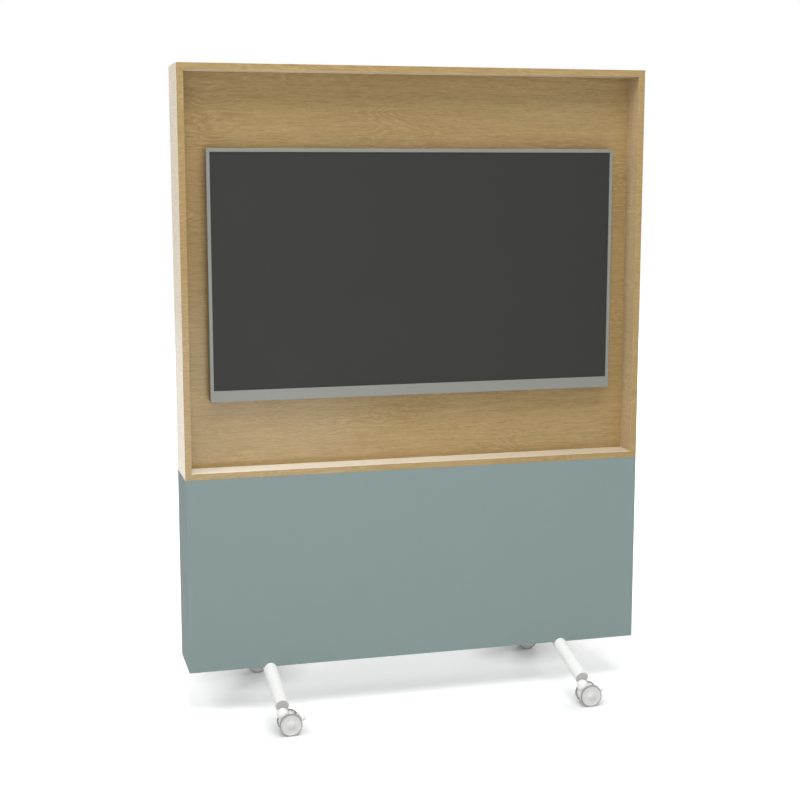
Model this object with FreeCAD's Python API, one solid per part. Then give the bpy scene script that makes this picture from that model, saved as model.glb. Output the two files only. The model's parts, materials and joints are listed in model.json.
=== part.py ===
import FreeCAD
import Part
import math
import os

# Mobile monitor wall: an open oak case with a recessed monitor on a closed sage case,
# carried by two bent tube feet on four braked casters with twin thin discs
# Millimetres, +Z up, front towards -Y, origin on the floor below the middle of the case

os.makedirs("parts", exist_ok=True)

# Case sizes: the case is drawn round the monitor, with room beside, below, above and behind it
lower_height = 577.0
board = 19.0
arris = 1.0
side_margin = 63.5
monitor_rise = 200.0
headroom = 214.5
bracket_depth = 11.0
frame_room = 32.5
carrier_thickness = 16.0
rear_panel_thickness = 16.0
rear_panel_inset = 2.0
groove_depth = 8.0
panel_edge_gap = 0.5

# Monitor sizes
screen_width = 1215.0
screen_height = 683.5
screen_thickness = 10.0
screen_edge_gap = 0.5
bezel_side = 10.0
bezel_chin = 33.0
bezel_depth = 28.0
bezel_lip = 2.0
bezel_wall = 3.0
bezel_corner = 4.0
bezel_front_chamfer = 0.8
monitor_setback = 38.0
cover_bulge = 3.5
cover_taper = 16.0
cover_wall = 2.5
cover_rim_corner = 8.0
vent_count = 16
vent_width = 6.0
vent_height = 24.0
vent_pitch_share = 0.04
vent_height_share = 0.82

# Monitor bracket sizes
vesa_pitch = 400.0
vesa_boss_radius = 9.0
vesa_screw_radius = 3.0
vesa_screw_depth = 9.0
vesa_head_radius = 6.0
vesa_head_height = 3.0
arm_end = 30.0
arm_width = 26.0
arm_wall = 2.0
arm_gap = 0.5
rail_end = 130.0
rail_sheet = 2.5
rail_height = 90.0
lip_offset = 4.5
lip_height = 14.0
lip_clear = 26.5
hook_gap = 0.3
rail_screw_radius = 2.5
rail_screw_depth = 12.0
rail_screw_head_radius = 5.0
rail_screw_head_height = 2.5
rail_screw_shares = (-0.42, -0.14, 0.14, 0.42)
cable_slot_width = 150.0
cable_slot_height = 60.0

# Caster sizes
foot_inset = 240.5
caster_spread_y = 282.0
wheel_radius = 33.0
wheel_trail = 20.0
disc_gap = 0.5
disc_width = 7.0
tyre_thickness = 3.5
tyre_round = 1.2
rim_flange = 3.0
web_inset = 2.0
face_dish = 1.4
hub_radius = 8.0
hub_dome_radius = 13.0
hub_dome_rise = 4.0
axle_radius = 4.0
axle_reach = 5.0
running_gap = 0.05
side_gap = 0.3
ball_radius = 17.5
ball_sink = 5.0
ball_flat_share = 0.88
stem_radius = 5.0
stem_engage = 6.0
stem_head_radius = 7.5
stem_head_height = 3.0
body_bottom = 15.0
collar_radius = 7.5
collar_height = 1.5
hood_radius = 8.5
hood_half = 9.0
hood_round = 1.2
axle_boss_radius = 10.0
axle_boss_half = 10.7
fender_wall = 3.0
fender_gap = 0.8
fender_round = 1.0
fender_front_deg = 60.0
fender_rear_deg = 205.0

# Brake pedal sizes
pivot_reach = 15.0
pivot_rise = 9.0
pivot_boss_radius = 6.0
pedal_slot_half = 4.3
pedal_slot_gap = 0.5
pedal_hub_radius = 4.6
trunnion_radius = 2.5
trunnion_half = 8.5
pedal_reach = 34.0
pedal_profile_shares = (
    (-0.10, -0.10, 0.05),
    (0.56, -0.24, 0.04),
    (0.72, -0.17, 0.08),
    (0.94, 0.00, 0.015),
    (0.90, 0.05, 0.015),
    (0.68, -0.11, 0.05),
    (0.56, -0.10, 0.04),
    (0.63, 0.08, 0.08),
    (0.33, 0.46, 0.12),
    (0.16, 0.42, 0.06),
    (-0.10, 0.08, 0.05),
)

# Foot sizes
tube_radius = 20.0
tube_wall = 1.5
tube_slope_deg = 14.5
tube_bend_radius = 110.0
tube_sink = 9.3
notch_gap = 0.4
ball_overhang = 10.0
ball_lift = 0.7
seat_gap = 0.2
plug_recess = 1.0
plug_length = 30.0
spigot_radius = 4.5
spigot_lift = 9.0
spigot_inset = 7.5
spigot_length = 26.5
saddle_height = 6.0
saddle_width = 30.0
saddle_length = 90.0
plate_thickness = 5.0
plate_width = 116.0
plate_length = 104.0
plate_corner = 10.0
bolt_radius = 4.0
bolt_gap = 0.3
bolt_head_radius = 7.5
bolt_head_height = 5.0
bolt_edge = 14.0
bolt_end = 2.0

# Upright sizes
upright_size = 40.0
upright_wall = 2.5
upright_corner = 5.0
upright_gap = 1.0
upright_top_drop = 120.0
tie_radius = 3.0
tie_depth = 10.0
tie_head_radius = 5.5
tie_head_height = 3.5
tie_shares = (0.15, 0.5, 0.85)

# Cable grommet sizes
grommet_bore = 30.0
grommet_wall = 2.5
grommet_flange = 7.0
grommet_flange_height = 2.5
grommet_inner_reach = 2.0
grommet_rise = 120.0

# Derived sizes
recess_depth = monitor_setback + bezel_depth + cover_bulge + bracket_depth
case_depth = (
    recess_depth + carrier_thickness + upright_size + frame_room + rear_panel_thickness + rear_panel_inset
)
case_width = screen_width + 2 * (bezel_side + side_margin + board)
upper_height = screen_height + bezel_chin + bezel_side + monitor_rise + headroom + 2 * board
arm_length = vesa_pitch + 2 * arm_end
rail_length = vesa_pitch + 2 * rail_end
rail_rise = vesa_pitch / 2 - rail_height / 2 - lip_offset - lip_height - lip_clear
caster_spread_x = case_width / 2 - foot_inset
wheel_gap_half = ball_radius + disc_gap
ball_drop = tube_radius - ball_lift

# Derived places
slope = math.radians(tube_slope_deg)
case_front = -case_depth / 2
case_rear = case_depth / 2
case_left = -case_width / 2
case_right = case_width / 2
ball_z = 2 * wheel_radius - ball_sink
tube_end_y = caster_spread_y - ball_overhang * math.cos(slope) + ball_drop * math.sin(slope)
tube_end_z = ball_z + ball_overhang * math.sin(slope) + ball_drop * math.cos(slope)
tube_face_z = tube_end_z + (tube_end_y - case_rear) * math.tan(slope)
tube_ridge_z = tube_end_z + tube_end_y * math.tan(slope)
tube_apex_z = tube_ridge_z - tube_bend_radius * (1 / math.cos(slope) - 1)
case_bottom = tube_face_z + tube_sink
case_split = case_bottom + lower_height
case_top = case_split + upper_height
plate_bottom = tube_apex_z + tube_radius + saddle_height
base_bottom = plate_bottom + plate_thickness
base_top = base_bottom + board
carrier_front = case_front + recess_depth
carrier_rear = carrier_front + carrier_thickness
rear_seat = case_rear - rear_panel_inset - rear_panel_thickness
niche_left = case_left + board
niche_right = case_right - board
niche_bottom = case_split + board
niche_top = case_top - board
monitor_front = case_front + monitor_setback
monitor_rear = monitor_front + bezel_depth
cover_rear = monitor_rear + cover_bulge
monitor_bottom = niche_bottom + monitor_rise
screen_bottom = monitor_bottom + bezel_chin
screen_top = screen_bottom + screen_height
monitor_top = screen_top + bezel_side
monitor_half = screen_width / 2 + bezel_side
monitor_middle = (monitor_bottom + monitor_top) / 2
body_top = ball_z - ball_radius * ball_flat_share - side_gap
pivot_x = wheel_trail + pivot_reach
pivot_z = wheel_radius + pivot_rise
disc_out = wheel_gap_half + disc_width
rim_radius = wheel_radius - tyre_thickness
fender_radius = rim_radius
corner_names = {
    "front_left": (-1, -1),
    "front_right": (1, -1),
    "rear_left": (-1, 1),
    "rear_right": (1, 1),
}


def point(x, y, z):
    return FreeCAD.Vector(x, y, z)


def save(shape, node):
    shape.exportStep("parts/" + node + ".step")


def block(x0, x1, y0, y1, z0, z1):
    return Part.makeBox(x1 - x0, y1 - y0, z1 - z0, point(x0, y0, z0))


def rod(start, end, radius):
    return Part.makeCylinder(radius, (end - start).Length, start, end - start)


def moved(shape, x, y):
    copy = shape.copy()
    copy.translate(point(x, y, 0))
    return copy


def mirrored_y(shape):
    return shape.mirror(point(0, 0, 0), point(0, 1, 0))


def fused(shapes):
    return shapes[0].fuse(shapes[1:]).removeSplitter()


# A closed outline of straight runs whose corners (a, b, radius) are rounded by tangent arcs
def outline(corners, place):
    ends = []
    count = len(corners)
    for index in range(count):
        a, b, radius = corners[index]
        here = point(a, b, 0)
        before = point(corners[index - 1][0], corners[index - 1][1], 0)
        after = point(corners[(index + 1) % count][0], corners[(index + 1) % count][1], 0)
        back = (before - here).normalize()
        ahead = (after - here).normalize()
        half = back.getAngle(ahead) / 2
        inward = (back + ahead).normalize() if radius else point(0, 0, 0)
        run = radius / math.tan(half)
        crown = here + inward * (radius / math.sin(half) - radius)
        ends.append((here + back * run, crown, here + ahead * run, radius))
    edges = []
    for index in range(count):
        first, crown, last, radius = ends[index]
        following = ends[(index + 1) % count][0]
        if radius:
            arc = Part.Arc(place(first.x, first.y), place(crown.x, crown.y), place(last.x, last.y))
            edges.append(arc.toShape())
        if (following - last).Length > arris * running_gap:
            edges.append(Part.makeLine(place(last.x, last.y), place(following.x, following.y)))
    return Part.Wire(edges)


def prism(corners, place, direction):
    return Part.Face(outline(corners, place)).extrude(direction)


def sharp(points):
    return [(a, b, 0) for a, b in points]


def rectangle(a0, a1, b0, b1, radius):
    return [(a0, b0, radius), (a1, b0, radius), (a1, b1, radius), (a0, b1, radius)]


def in_plane_y(y):
    return lambda a, b: point(a, y, b)


def in_plane_z(z):
    return lambda a, b: point(a, b, z)


def in_plane_x(x):
    return lambda a, b: point(x, a, b)


# The outline of a taut belt round circles (x, z, radius) given anticlockwise
def belt(circles, y):
    edges = []
    count = len(circles)
    touches = []
    for index in range(count):
        x0, z0, r0 = circles[index]
        x1, z1, r1 = circles[(index + 1) % count]
        span = math.hypot(x1 - x0, z1 - z0)
        heading = math.atan2(z1 - z0, x1 - x0)
        lean = heading - math.acos((r0 - r1) / span)
        touches.append(lean)
    for index in range(count):
        x0, z0, r0 = circles[index]
        x1, z1, r1 = circles[(index + 1) % count]
        lean = touches[index]
        start = point(x0 + r0 * math.cos(lean), y, z0 + r0 * math.sin(lean))
        end = point(x1 + r1 * math.cos(lean), y, z1 + r1 * math.sin(lean))
        edges.append(Part.makeLine(start, end))
        turn = (touches[(index + 1) % count] - lean) % (2 * math.pi)
        middle = lean + turn / 2
        last = lean + turn
        crown = point(x1 + r1 * math.cos(middle), y, z1 + r1 * math.sin(middle))
        close = point(x1 + r1 * math.cos(last), y, z1 + r1 * math.sin(last))
        edges.append(Part.Arc(end, crown, close).toShape())
    return Part.Wire(edges)


# Corners of a bent strip of even thickness along a broken line
def strip(path, half):
    left = []
    right = []
    for index in range(len(path)):
        here = point(path[index][0], path[index][1], 0)
        runs = []
        if index:
            runs.append((here - point(path[index - 1][0], path[index - 1][1], 0)).normalize())
        if index < len(path) - 1:
            runs.append((point(path[index + 1][0], path[index + 1][1], 0) - here).normalize())
        mean = (runs[0] + runs[-1]).normalize()
        side = point(-mean.y, mean.x, 0) * (half / mean.dot(runs[0]))
        left.append((here.x + side.x, here.y + side.y))
        right.append((here.x - side.x, here.y - side.y))
    return sharp(right + left[::-1])


# Upper case: four mitred boards of one section, grooved for the carrier and rebated for the rear panel
def upper_board(place, direction, mitre):
    floor = board - groove_depth
    section = [
        (case_front, 0, arris),
        (case_rear, 0, arris),
        (case_rear, floor, 0),
        (rear_seat, floor, 0),
        (rear_seat, board, 0),
        (carrier_rear, board, 0),
        (carrier_rear, floor, 0),
        (carrier_front, floor, 0),
        (carrier_front, board, 0),
        (case_front, board, arris),
    ]
    length = prism(section, place, direction)
    ends = prism(sharp(mitre), in_plane_y(case_front), point(0, case_depth, 0))
    return length.common(ends)


across = point(case_width, 0, 0)
upward = point(0, 0, upper_height)
oak_shelf = upper_board(
    lambda a, b: point(case_left, a, case_split + b),
    across,
    [
        (case_left, case_split), (case_right, case_split),
        (niche_right, niche_bottom), (niche_left, niche_bottom),
    ],
)
oak_top = upper_board(
    lambda a, b: point(case_left, a, case_top - b),
    across,
    [(case_left, case_top), (niche_left, niche_top), (niche_right, niche_top), (case_right, case_top)],
)
oak_side_left = upper_board(
    lambda a, b: point(case_left + b, a, case_split),
    upward,
    [(case_left, case_split), (niche_left, niche_bottom), (niche_left, niche_top), (case_left, case_top)],
)
oak_side_right = upper_board(
    lambda a, b: point(case_right - b, a, case_split),
    upward,
    [
        (case_right, case_split), (case_right, case_top),
        (niche_right, niche_top), (niche_right, niche_bottom),
    ],
)

# Panels held in the groove and in the rebate
tongue = groove_depth - panel_edge_gap
carrier_panel = block(
    niche_left - tongue, niche_right + tongue,
    carrier_front, carrier_rear,
    niche_bottom - tongue, niche_top + tongue,
)
upper_rear_panel = block(
    niche_left - tongue, niche_right + tongue,
    rear_seat, rear_seat + rear_panel_thickness,
    niche_bottom - tongue, niche_top + tongue,
)
cable_slot = prism(
    rectangle(
        -cable_slot_width / 2, cable_slot_width / 2,
        monitor_middle - cable_slot_height / 2, monitor_middle + cable_slot_height / 2,
        cable_slot_height / 4,
    ),
    in_plane_y(carrier_front),
    point(0, carrier_thickness, 0),
)
carrier_panel = carrier_panel.cut(cable_slot)

# Lower case: a ring of four mitred panels round the base board
ring_outside = outline(
    rectangle(case_left, case_right, case_front, case_rear, arris), in_plane_z(case_bottom)
)
ring_inside = outline(
    rectangle(niche_left, niche_right, case_front + board, case_rear - board, 0), in_plane_z(case_bottom)
)
ring_up = point(0, 0, lower_height)
ring = Part.Face(ring_outside).extrude(ring_up).cut(Part.Face(ring_inside).extrude(ring_up))


def lower_panel(mitre):
    return ring.common(prism(sharp(mitre), in_plane_z(case_bottom), ring_up))


inner_front = case_front + board
inner_rear = case_rear - board
sage_front_panel = lower_panel([
    (case_left, case_front), (case_right, case_front),
    (niche_right, inner_front), (niche_left, inner_front),
])
sage_rear_panel = lower_panel([
    (case_left, case_rear), (niche_left, inner_rear),
    (niche_right, inner_rear), (case_right, case_rear),
])
sage_side_left = lower_panel([
    (case_left, case_front), (niche_left, inner_front),
    (niche_left, inner_rear), (case_left, case_rear),
])
sage_side_right = lower_panel([
    (case_right, case_front), (case_right, case_rear),
    (niche_right, inner_rear), (niche_right, inner_front),
])
base_board = block(niche_left, niche_right, inner_front, inner_rear, base_bottom, base_top)

# Feet: a tube bent over the middle of the case, with a saddle and a plate welded on its ridge
tangent_run = tube_bend_radius * math.tan(slope)
bend_y = tangent_run * math.cos(slope)
bend_z = tube_ridge_z - tangent_run * math.sin(slope)


def tube_path(x):
    front_end = point(x, -tube_end_y, tube_end_z)
    front_bend = point(x, -bend_y, bend_z)
    apex = point(x, 0, tube_apex_z)
    rear_bend = point(x, bend_y, bend_z)
    rear_end = point(x, tube_end_y, tube_end_z)
    arc = Part.Arc(front_bend, apex, rear_bend).toShape()
    return Part.Wire([Part.makeLine(front_end, front_bend), arc, Part.makeLine(rear_bend, rear_end)])


def swept(x, radius):
    start = point(x, -tube_end_y, tube_end_z)
    along = point(0, math.cos(slope), math.sin(slope))
    ring_wire = Part.Wire(Part.makeCircle(radius, start, along))
    return tube_path(x).makePipeShell([ring_wire], True, False)


def ball_seat(x, side):
    return Part.makeSphere(ball_radius + seat_gap, point(x, side * caster_spread_y, ball_z))


def plate_outline(x, z):
    corners = rectangle(
        x - plate_width / 2, x + plate_width / 2, -plate_length / 2, plate_length / 2, plate_corner
    )
    return prism(corners, in_plane_z(z), point(0, 0, plate_thickness))


def bolt_places(x):
    reach_x = plate_width / 2 - bolt_edge
    reach_y = plate_length / 2 - bolt_edge
    return [(x + i * reach_x, j * reach_y) for i in (-1, 1) for j in (-1, 1)]


def bolt_holes(x):
    low = plate_bottom
    high = base_top + plate_thickness
    radius = bolt_radius + bolt_gap
    return [rod(point(a, b, low), point(a, b, high), radius) for a, b in bolt_places(x)]


def hexagon(x, y, z):
    turns = [index * math.pi / 3 for index in range(6)]
    corners = [(x + bolt_head_radius * math.cos(t), y + bolt_head_radius * math.sin(t)) for t in turns]
    return prism(sharp(corners), in_plane_z(z), point(0, 0, bolt_head_height))


def foot(x):
    solid_tube = swept(x, tube_radius)
    saddle = block(
        x - saddle_width / 2, x + saddle_width / 2,
        -saddle_length / 2, saddle_length / 2,
        tube_apex_z, plate_bottom,
    ).cut(solid_tube)
    tube = solid_tube.cut(swept(x, tube_radius - tube_wall))
    whole = fused([tube, saddle, plate_outline(x, plate_bottom)])
    return whole.cut(bolt_holes(x) + [ball_seat(x, -1), ball_seat(x, 1)])


def notch(x, side):
    inner = point(x, 0, tube_ridge_z)
    outer = point(x, side * tube_end_y, tube_end_z)
    return rod(inner, outer, tube_radius + notch_gap)


foot_xs = (-caster_spread_x, caster_spread_x)
foot_left = foot(-caster_spread_x)
foot_right = foot(caster_spread_x)
sage_front_panel = sage_front_panel.cut([notch(x, -1) for x in foot_xs])
sage_rear_panel = sage_rear_panel.cut([notch(x, 1) for x in foot_xs])
base_board = base_board.cut(bolt_holes(foot_xs[0]) + bolt_holes(foot_xs[1]))


# Bolts and nuts clamp the foot plate, the base board and the upright's plate
def foot_bolt(x, y):
    head_bottom = plate_bottom - bolt_head_height
    nut_bottom = base_top + plate_thickness
    shank_top = nut_bottom + bolt_head_height + bolt_end
    shank = rod(point(x, y, plate_bottom), point(x, y, shank_top), bolt_radius)
    return fused([hexagon(x, y, head_bottom), shank, hexagon(x, y, nut_bottom)])


# Uprights: square tubes on plates, standing through the shelf behind the carrier panel
upright_y = carrier_rear + upright_size / 2
upright_top = niche_top - upright_top_drop
upright_foot = base_top + plate_thickness


def square(x, size, radius):
    return rectangle(x - size / 2, x + size / 2, upright_y - size / 2, upright_y + size / 2, radius)


def upright(x):
    rise = point(0, 0, upright_top - upright_foot)
    outside = prism(square(x, upright_size, upright_corner), in_plane_z(upright_foot), rise)
    bore = upright_size - 2 * upright_wall
    inside = prism(square(x, bore, upright_corner - upright_wall), in_plane_z(upright_foot), rise)
    whole = fused([outside.cut(inside), plate_outline(x, base_top)])
    return whole.cut(bolt_holes(x) + tie_holes(x))


def tie_heights():
    return [niche_bottom + share * (upright_top - niche_bottom) for share in tie_shares]


def tie_holes(x):
    rear = carrier_rear + upright_size
    return [rod(point(x, carrier_rear, z), point(x, rear, z), tie_radius + bolt_gap) for z in tie_heights()]


def tie_bolt(x, z):
    rear = carrier_rear + upright_size
    shank = rod(point(x, carrier_rear - tie_depth, z), point(x, rear, z), tie_radius)
    head = rod(point(x, rear, z), point(x, rear + tie_head_height, z), tie_head_radius)
    return fused([shank, head])


upright_left = upright(-caster_spread_x)
upright_right = upright(caster_spread_x)
pass_size = upright_size + 2 * upright_gap
shelf_cuts = [
    prism(square(x, pass_size, upright_corner), in_plane_z(case_split), point(0, 0, board)) for x in foot_xs
]
oak_shelf = oak_shelf.cut(shelf_cuts)
tie_bores = [
    rod(point(x, carrier_rear - tie_depth, z), point(x, carrier_rear, z), tie_radius)
    for x in foot_xs
    for z in tie_heights()
]
carrier_panel = carrier_panel.cut(tie_bores)
frame_bolts = Part.makeCompound(
    [foot_bolt(a, b) for x in foot_xs for a, b in bolt_places(x)]
    + [tie_bolt(x, z) for x in foot_xs for z in tie_heights()]
)

# Cable grommet: a flanged sleeve in the lower rear panel
grommet_z = base_top + grommet_rise
grommet_outer = grommet_bore + grommet_wall
grommet_profile = sharp([
    (grommet_bore, inner_rear - grommet_inner_reach),
    (grommet_outer, inner_rear - grommet_inner_reach),
    (grommet_outer, case_rear),
    (grommet_bore + grommet_flange, case_rear),
    (grommet_outer, case_rear + grommet_flange_height),
    (grommet_bore, case_rear + grommet_flange_height),
])
grommet_face = Part.Face(outline(grommet_profile, lambda a, b: point(a, b, grommet_z)))
cable_grommet = grommet_face.revolve(point(0, 0, grommet_z), point(0, 1, 0), 360)
grommet_hole = rod(point(0, inner_rear, grommet_z), point(0, case_rear, grommet_z), grommet_outer)
sage_rear_panel = sage_rear_panel.cut(grommet_hole)

# Monitor frame: a rounded tray with a wide lower rail and a lip in front of the screen
screen_half = screen_width / 2
deep = point(0, bezel_depth, 0)
frame_body = prism(
    rectangle(-monitor_half, monitor_half, monitor_bottom, monitor_top, bezel_corner),
    in_plane_y(monitor_front),
    deep,
)
front_edges = [e for e in frame_body.Edges if e.BoundBox.YMax - monitor_front < running_gap]
frame_body = frame_body.makeChamfer(bezel_front_chamfer, front_edges)
pocket_half = monitor_half - bezel_wall
pocket_bottom = monitor_bottom + bezel_wall
pocket_top = monitor_top - bezel_wall
screen_front = monitor_front + bezel_lip
window = block(-screen_half, screen_half, monitor_front, monitor_rear, screen_bottom, screen_top)
pocket = block(-pocket_half, pocket_half, screen_front, monitor_rear, pocket_bottom, pocket_top)
monitor_bezel = frame_body.cut([window, pocket])
screen_rear = screen_front + screen_thickness
monitor_screen = block(
    -pocket_half + screen_edge_gap, pocket_half - screen_edge_gap,
    screen_front, screen_rear,
    pocket_bottom + screen_edge_gap, pocket_top - screen_edge_gap,
)


# Monitor rear cover: a skirt inside the frame and a tapered back, hollow towards the screen
def cover_rectangle(inset, y, radius):
    corners = rectangle(
        -pocket_half + inset, pocket_half - inset, pocket_bottom + inset, pocket_top - inset, radius
    )
    return outline(corners, in_plane_y(y))


def cover_solid(wall):
    skirt_inset = screen_edge_gap + wall
    skirt_deep = point(0, monitor_rear - screen_rear, 0)
    corner = cover_rim_corner
    skirt = Part.Face(cover_rectangle(skirt_inset, screen_rear, corner)).extrude(skirt_deep)
    rim = cover_rectangle(skirt_inset, monitor_rear, corner)
    back = cover_rectangle(skirt_inset + cover_taper, cover_rear - wall, corner)
    return fused([skirt, Part.makeLoft([rim, back], True, True)])


def vesa_places():
    reach = vesa_pitch / 2
    return [(i * reach, monitor_middle + j * reach) for i in (-1, 1) for j in (-1, 1)]


vent_z = monitor_bottom + vent_height_share * (monitor_top - monitor_bottom)
vent_pitch = vent_pitch_share * screen_width
vent_start = -vent_pitch * (vent_count - 1) / 2
vents = []
for index in range(vent_count):
    middle = vent_start + index * vent_pitch
    corners = rectangle(middle - vent_width / 2, middle + vent_width / 2, vent_z, vent_z + vent_height, 0)
    vents.append(prism(corners, in_plane_y(screen_rear), point(0, cover_rear - screen_rear, 0)))
bosses = []
boss_holes = []
for x, z in vesa_places():
    bosses.append(rod(point(x, screen_rear, z), point(x, cover_rear, z), vesa_boss_radius))
    hole_end = point(x, cover_rear - vesa_screw_depth, z)
    boss_holes.append(rod(hole_end, point(x, cover_rear, z), vesa_screw_radius))
monitor_rear_cover = cover_solid(0).cut(cover_solid(cover_wall)).cut(vents)
monitor_rear_cover = fused([monitor_rear_cover] + bosses).cut(boss_holes)

# Wall rail: a bent strip with an upturned lip, screwed to the carrier panel
rail_middle = monitor_middle + rail_rise
rail_axis = carrier_front - rail_sheet / 2
rail_top = rail_middle + rail_height / 2
rail_path = [
    (rail_axis, rail_middle - rail_height / 2),
    (rail_axis, rail_top),
    (rail_axis - lip_offset, rail_top + lip_offset),
    (rail_axis - lip_offset, rail_top + lip_offset + lip_height),
]
wall_rail = prism(strip(rail_path, rail_sheet / 2), in_plane_x(-rail_length / 2), point(rail_length, 0, 0))
rail_screw_xs = [share * rail_length for share in rail_screw_shares]
rail_face = carrier_front - rail_sheet


def rail_screw(x):
    tip = point(x, carrier_front + rail_screw_depth, rail_middle)
    seat = point(x, rail_face, rail_middle)
    crown = point(x, rail_face - rail_screw_head_height, rail_middle)
    return fused([rod(seat, tip, rail_screw_radius), rod(crown, seat, rail_screw_head_radius)])


rail_screw_tip = carrier_front + rail_screw_depth
rail_bores = [
    rod(point(x, rail_face, rail_middle), point(x, rail_screw_tip, rail_middle), rail_screw_radius)
    for x in rail_screw_xs
]
wall_rail = wall_rail.cut(rail_bores)
carrier_panel = carrier_panel.cut(rail_bores)

# Hook arms: upright channels on the monitor's back, notched to hang on the rail's lip
lip_front = rail_axis - lip_offset - rail_sheet / 2
lip_low = rail_top - rail_sheet
lip_high = rail_top + lip_offset + lip_height
arm_rear = rail_face - arm_gap


def hook_arm(x):
    outer = arm_width / 2
    inner = outer - arm_wall
    web = cover_rear + arm_wall
    section = sharp([
        (x - outer, cover_rear), (x + outer, cover_rear), (x + outer, arm_rear), (x + inner, arm_rear),
        (x + inner, web), (x - inner, web), (x - inner, arm_rear), (x - outer, arm_rear),
    ])
    channel = prism(section, in_plane_z(monitor_middle - arm_length / 2), point(0, 0, arm_length))
    hook = block(x - outer, x + outer, lip_front - hook_gap, arm_rear, lip_low, lip_high + hook_gap)
    holes = [
        rod(point(x, cover_rear, monitor_middle + j * vesa_pitch / 2),
            point(x, web, monitor_middle + j * vesa_pitch / 2), vesa_screw_radius)
        for j in (-1, 1)
    ]
    return channel.cut([hook] + holes)


def vesa_screw(x, z):
    seat = cover_rear + arm_wall
    shank = rod(point(x, cover_rear - vesa_screw_depth, z), point(x, seat, z), vesa_screw_radius)
    head = rod(point(x, seat, z), point(x, seat + vesa_head_height, z), vesa_head_radius)
    return fused([shank, head])


hook_arm_left = hook_arm(-vesa_pitch / 2)
hook_arm_right = hook_arm(vesa_pitch / 2)
bracket_screws = Part.makeCompound(
    [vesa_screw(x, z) for x, z in vesa_places()] + [rail_screw(x) for x in rail_screw_xs]
)


# Caster knuckle: a ball with a flat for the swivel, held by a spigot on the plug of the tube's end
def spigot(side):
    along = point(0, -side * math.cos(slope), math.sin(slope))
    lift = point(0, side * math.sin(slope), math.cos(slope)) * spigot_lift
    start = point(0, side * caster_spread_y, ball_z) + lift + along * spigot_inset
    return rod(start, start + along * spigot_length, spigot_radius)


def knuckle(side):
    middle = point(0, side * caster_spread_y, ball_z)
    flat_z = ball_z - ball_radius * ball_flat_share
    under = rod(point(0, middle.y, 0), point(0, middle.y, flat_z), ball_radius)
    bore = rod(point(0, middle.y, 0), point(0, middle.y, ball_z + stem_engage), stem_radius)
    return Part.makeSphere(ball_radius, middle).cut([under, bore, spigot(side)])


def tube_plug(side):
    along = point(0, -side * math.cos(slope), math.sin(slope))
    mouth = point(0, side * tube_end_y, tube_end_z)
    face = mouth + along * plug_recess
    whole = rod(face, face + along * plug_length, tube_radius - tube_wall)
    return fused([whole.cut(ball_seat(0, side)), spigot(side)])


# Caster stem: a pivot bolt whose head holds the swivel body up against the ball
stem_seat = body_bottom - side_gap
stem = fused([
    rod(point(0, 0, stem_seat), point(0, 0, ball_z + stem_engage), stem_radius),
    rod(point(0, 0, stem_seat - stem_head_height), point(0, 0, stem_seat), stem_head_radius),
])


# Caster fender: an arched guard between the discs, rounded along its rims and cupped under the ball
def caster_fender():
    half = wheel_gap_half - fender_gap
    inside = fender_radius - fender_wall
    front = math.radians(fender_front_deg)
    rear = math.radians(fender_rear_deg)
    middle = (front + rear) / 2

    def on_arc(radius, angle):
        return point(wheel_trail + radius * math.cos(angle), -half, wheel_radius + radius * math.sin(angle))

    outer = [on_arc(fender_radius, angle) for angle in (front, middle, rear)]
    inner = [on_arc(inside, angle) for angle in (rear, middle, front)]
    edges = [
        Part.Arc(*outer).toShape(),
        Part.makeLine(outer[-1], inner[0]),
        Part.Arc(*inner).toShape(),
        Part.makeLine(inner[-1], outer[0]),
    ]
    guard = Part.Face(Part.Wire(edges)).extrude(point(0, 2 * half, 0))
    flat = fender_round * running_gap
    rims = [
        e for e in guard.Edges
        if e.BoundBox.YMax - e.BoundBox.YMin < flat and e.BoundBox.ZMax - wheel_radius > inside + flat
    ]
    return guard.makeFillet(fender_round, rims)


# Caster body: a hood drawn round the stem, the axle and the pedal pivot, carrying the fender
def caster_body():
    hood_top = body_top - collar_height
    circles = [
        (0, hood_top - hood_radius, hood_radius),
        (wheel_trail, wheel_radius, axle_boss_radius),
        (pivot_x, pivot_z, pivot_boss_radius),
    ]
    hood = Part.Face(belt(circles, -hood_half)).extrude(point(0, 2 * hood_half, 0))
    rims = [e for e in hood.Edges if e.BoundBox.YMax - e.BoundBox.YMin < hood_round * running_gap]
    hood = hood.makeFillet(hood_round, rims)
    collar = rod(point(0, 0, body_bottom), point(0, 0, body_top), collar_radius)
    boss = rod(
        point(wheel_trail, -axle_boss_half, wheel_radius), point(wheel_trail, axle_boss_half, wheel_radius),
        axle_boss_radius - hood_round,
    )
    slot = block(
        pivot_x - pivot_boss_radius - pedal_slot_gap, pivot_x + pivot_boss_radius + pedal_slot_gap,
        -pedal_slot_half, pedal_slot_half,
        0, ball_z,
    )
    cup = Part.makeSphere(ball_radius + side_gap, point(0, 0, ball_z))
    stem_bore = rod(point(0, 0, 0), point(0, 0, ball_z), stem_radius + running_gap)
    axle_bore = rod(
        point(wheel_trail, -axle_boss_half, wheel_radius), point(wheel_trail, axle_boss_half, wheel_radius),
        axle_radius,
    )
    pivot_bore = rod(
        point(pivot_x, -hood_half, pivot_z), point(pivot_x, hood_half, pivot_z),
        trunnion_radius + running_gap,
    )
    whole = fused([hood, collar, boss, caster_fender()])
    return whole.cut([cup, slot, stem_bore, axle_bore, pivot_bore])


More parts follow.
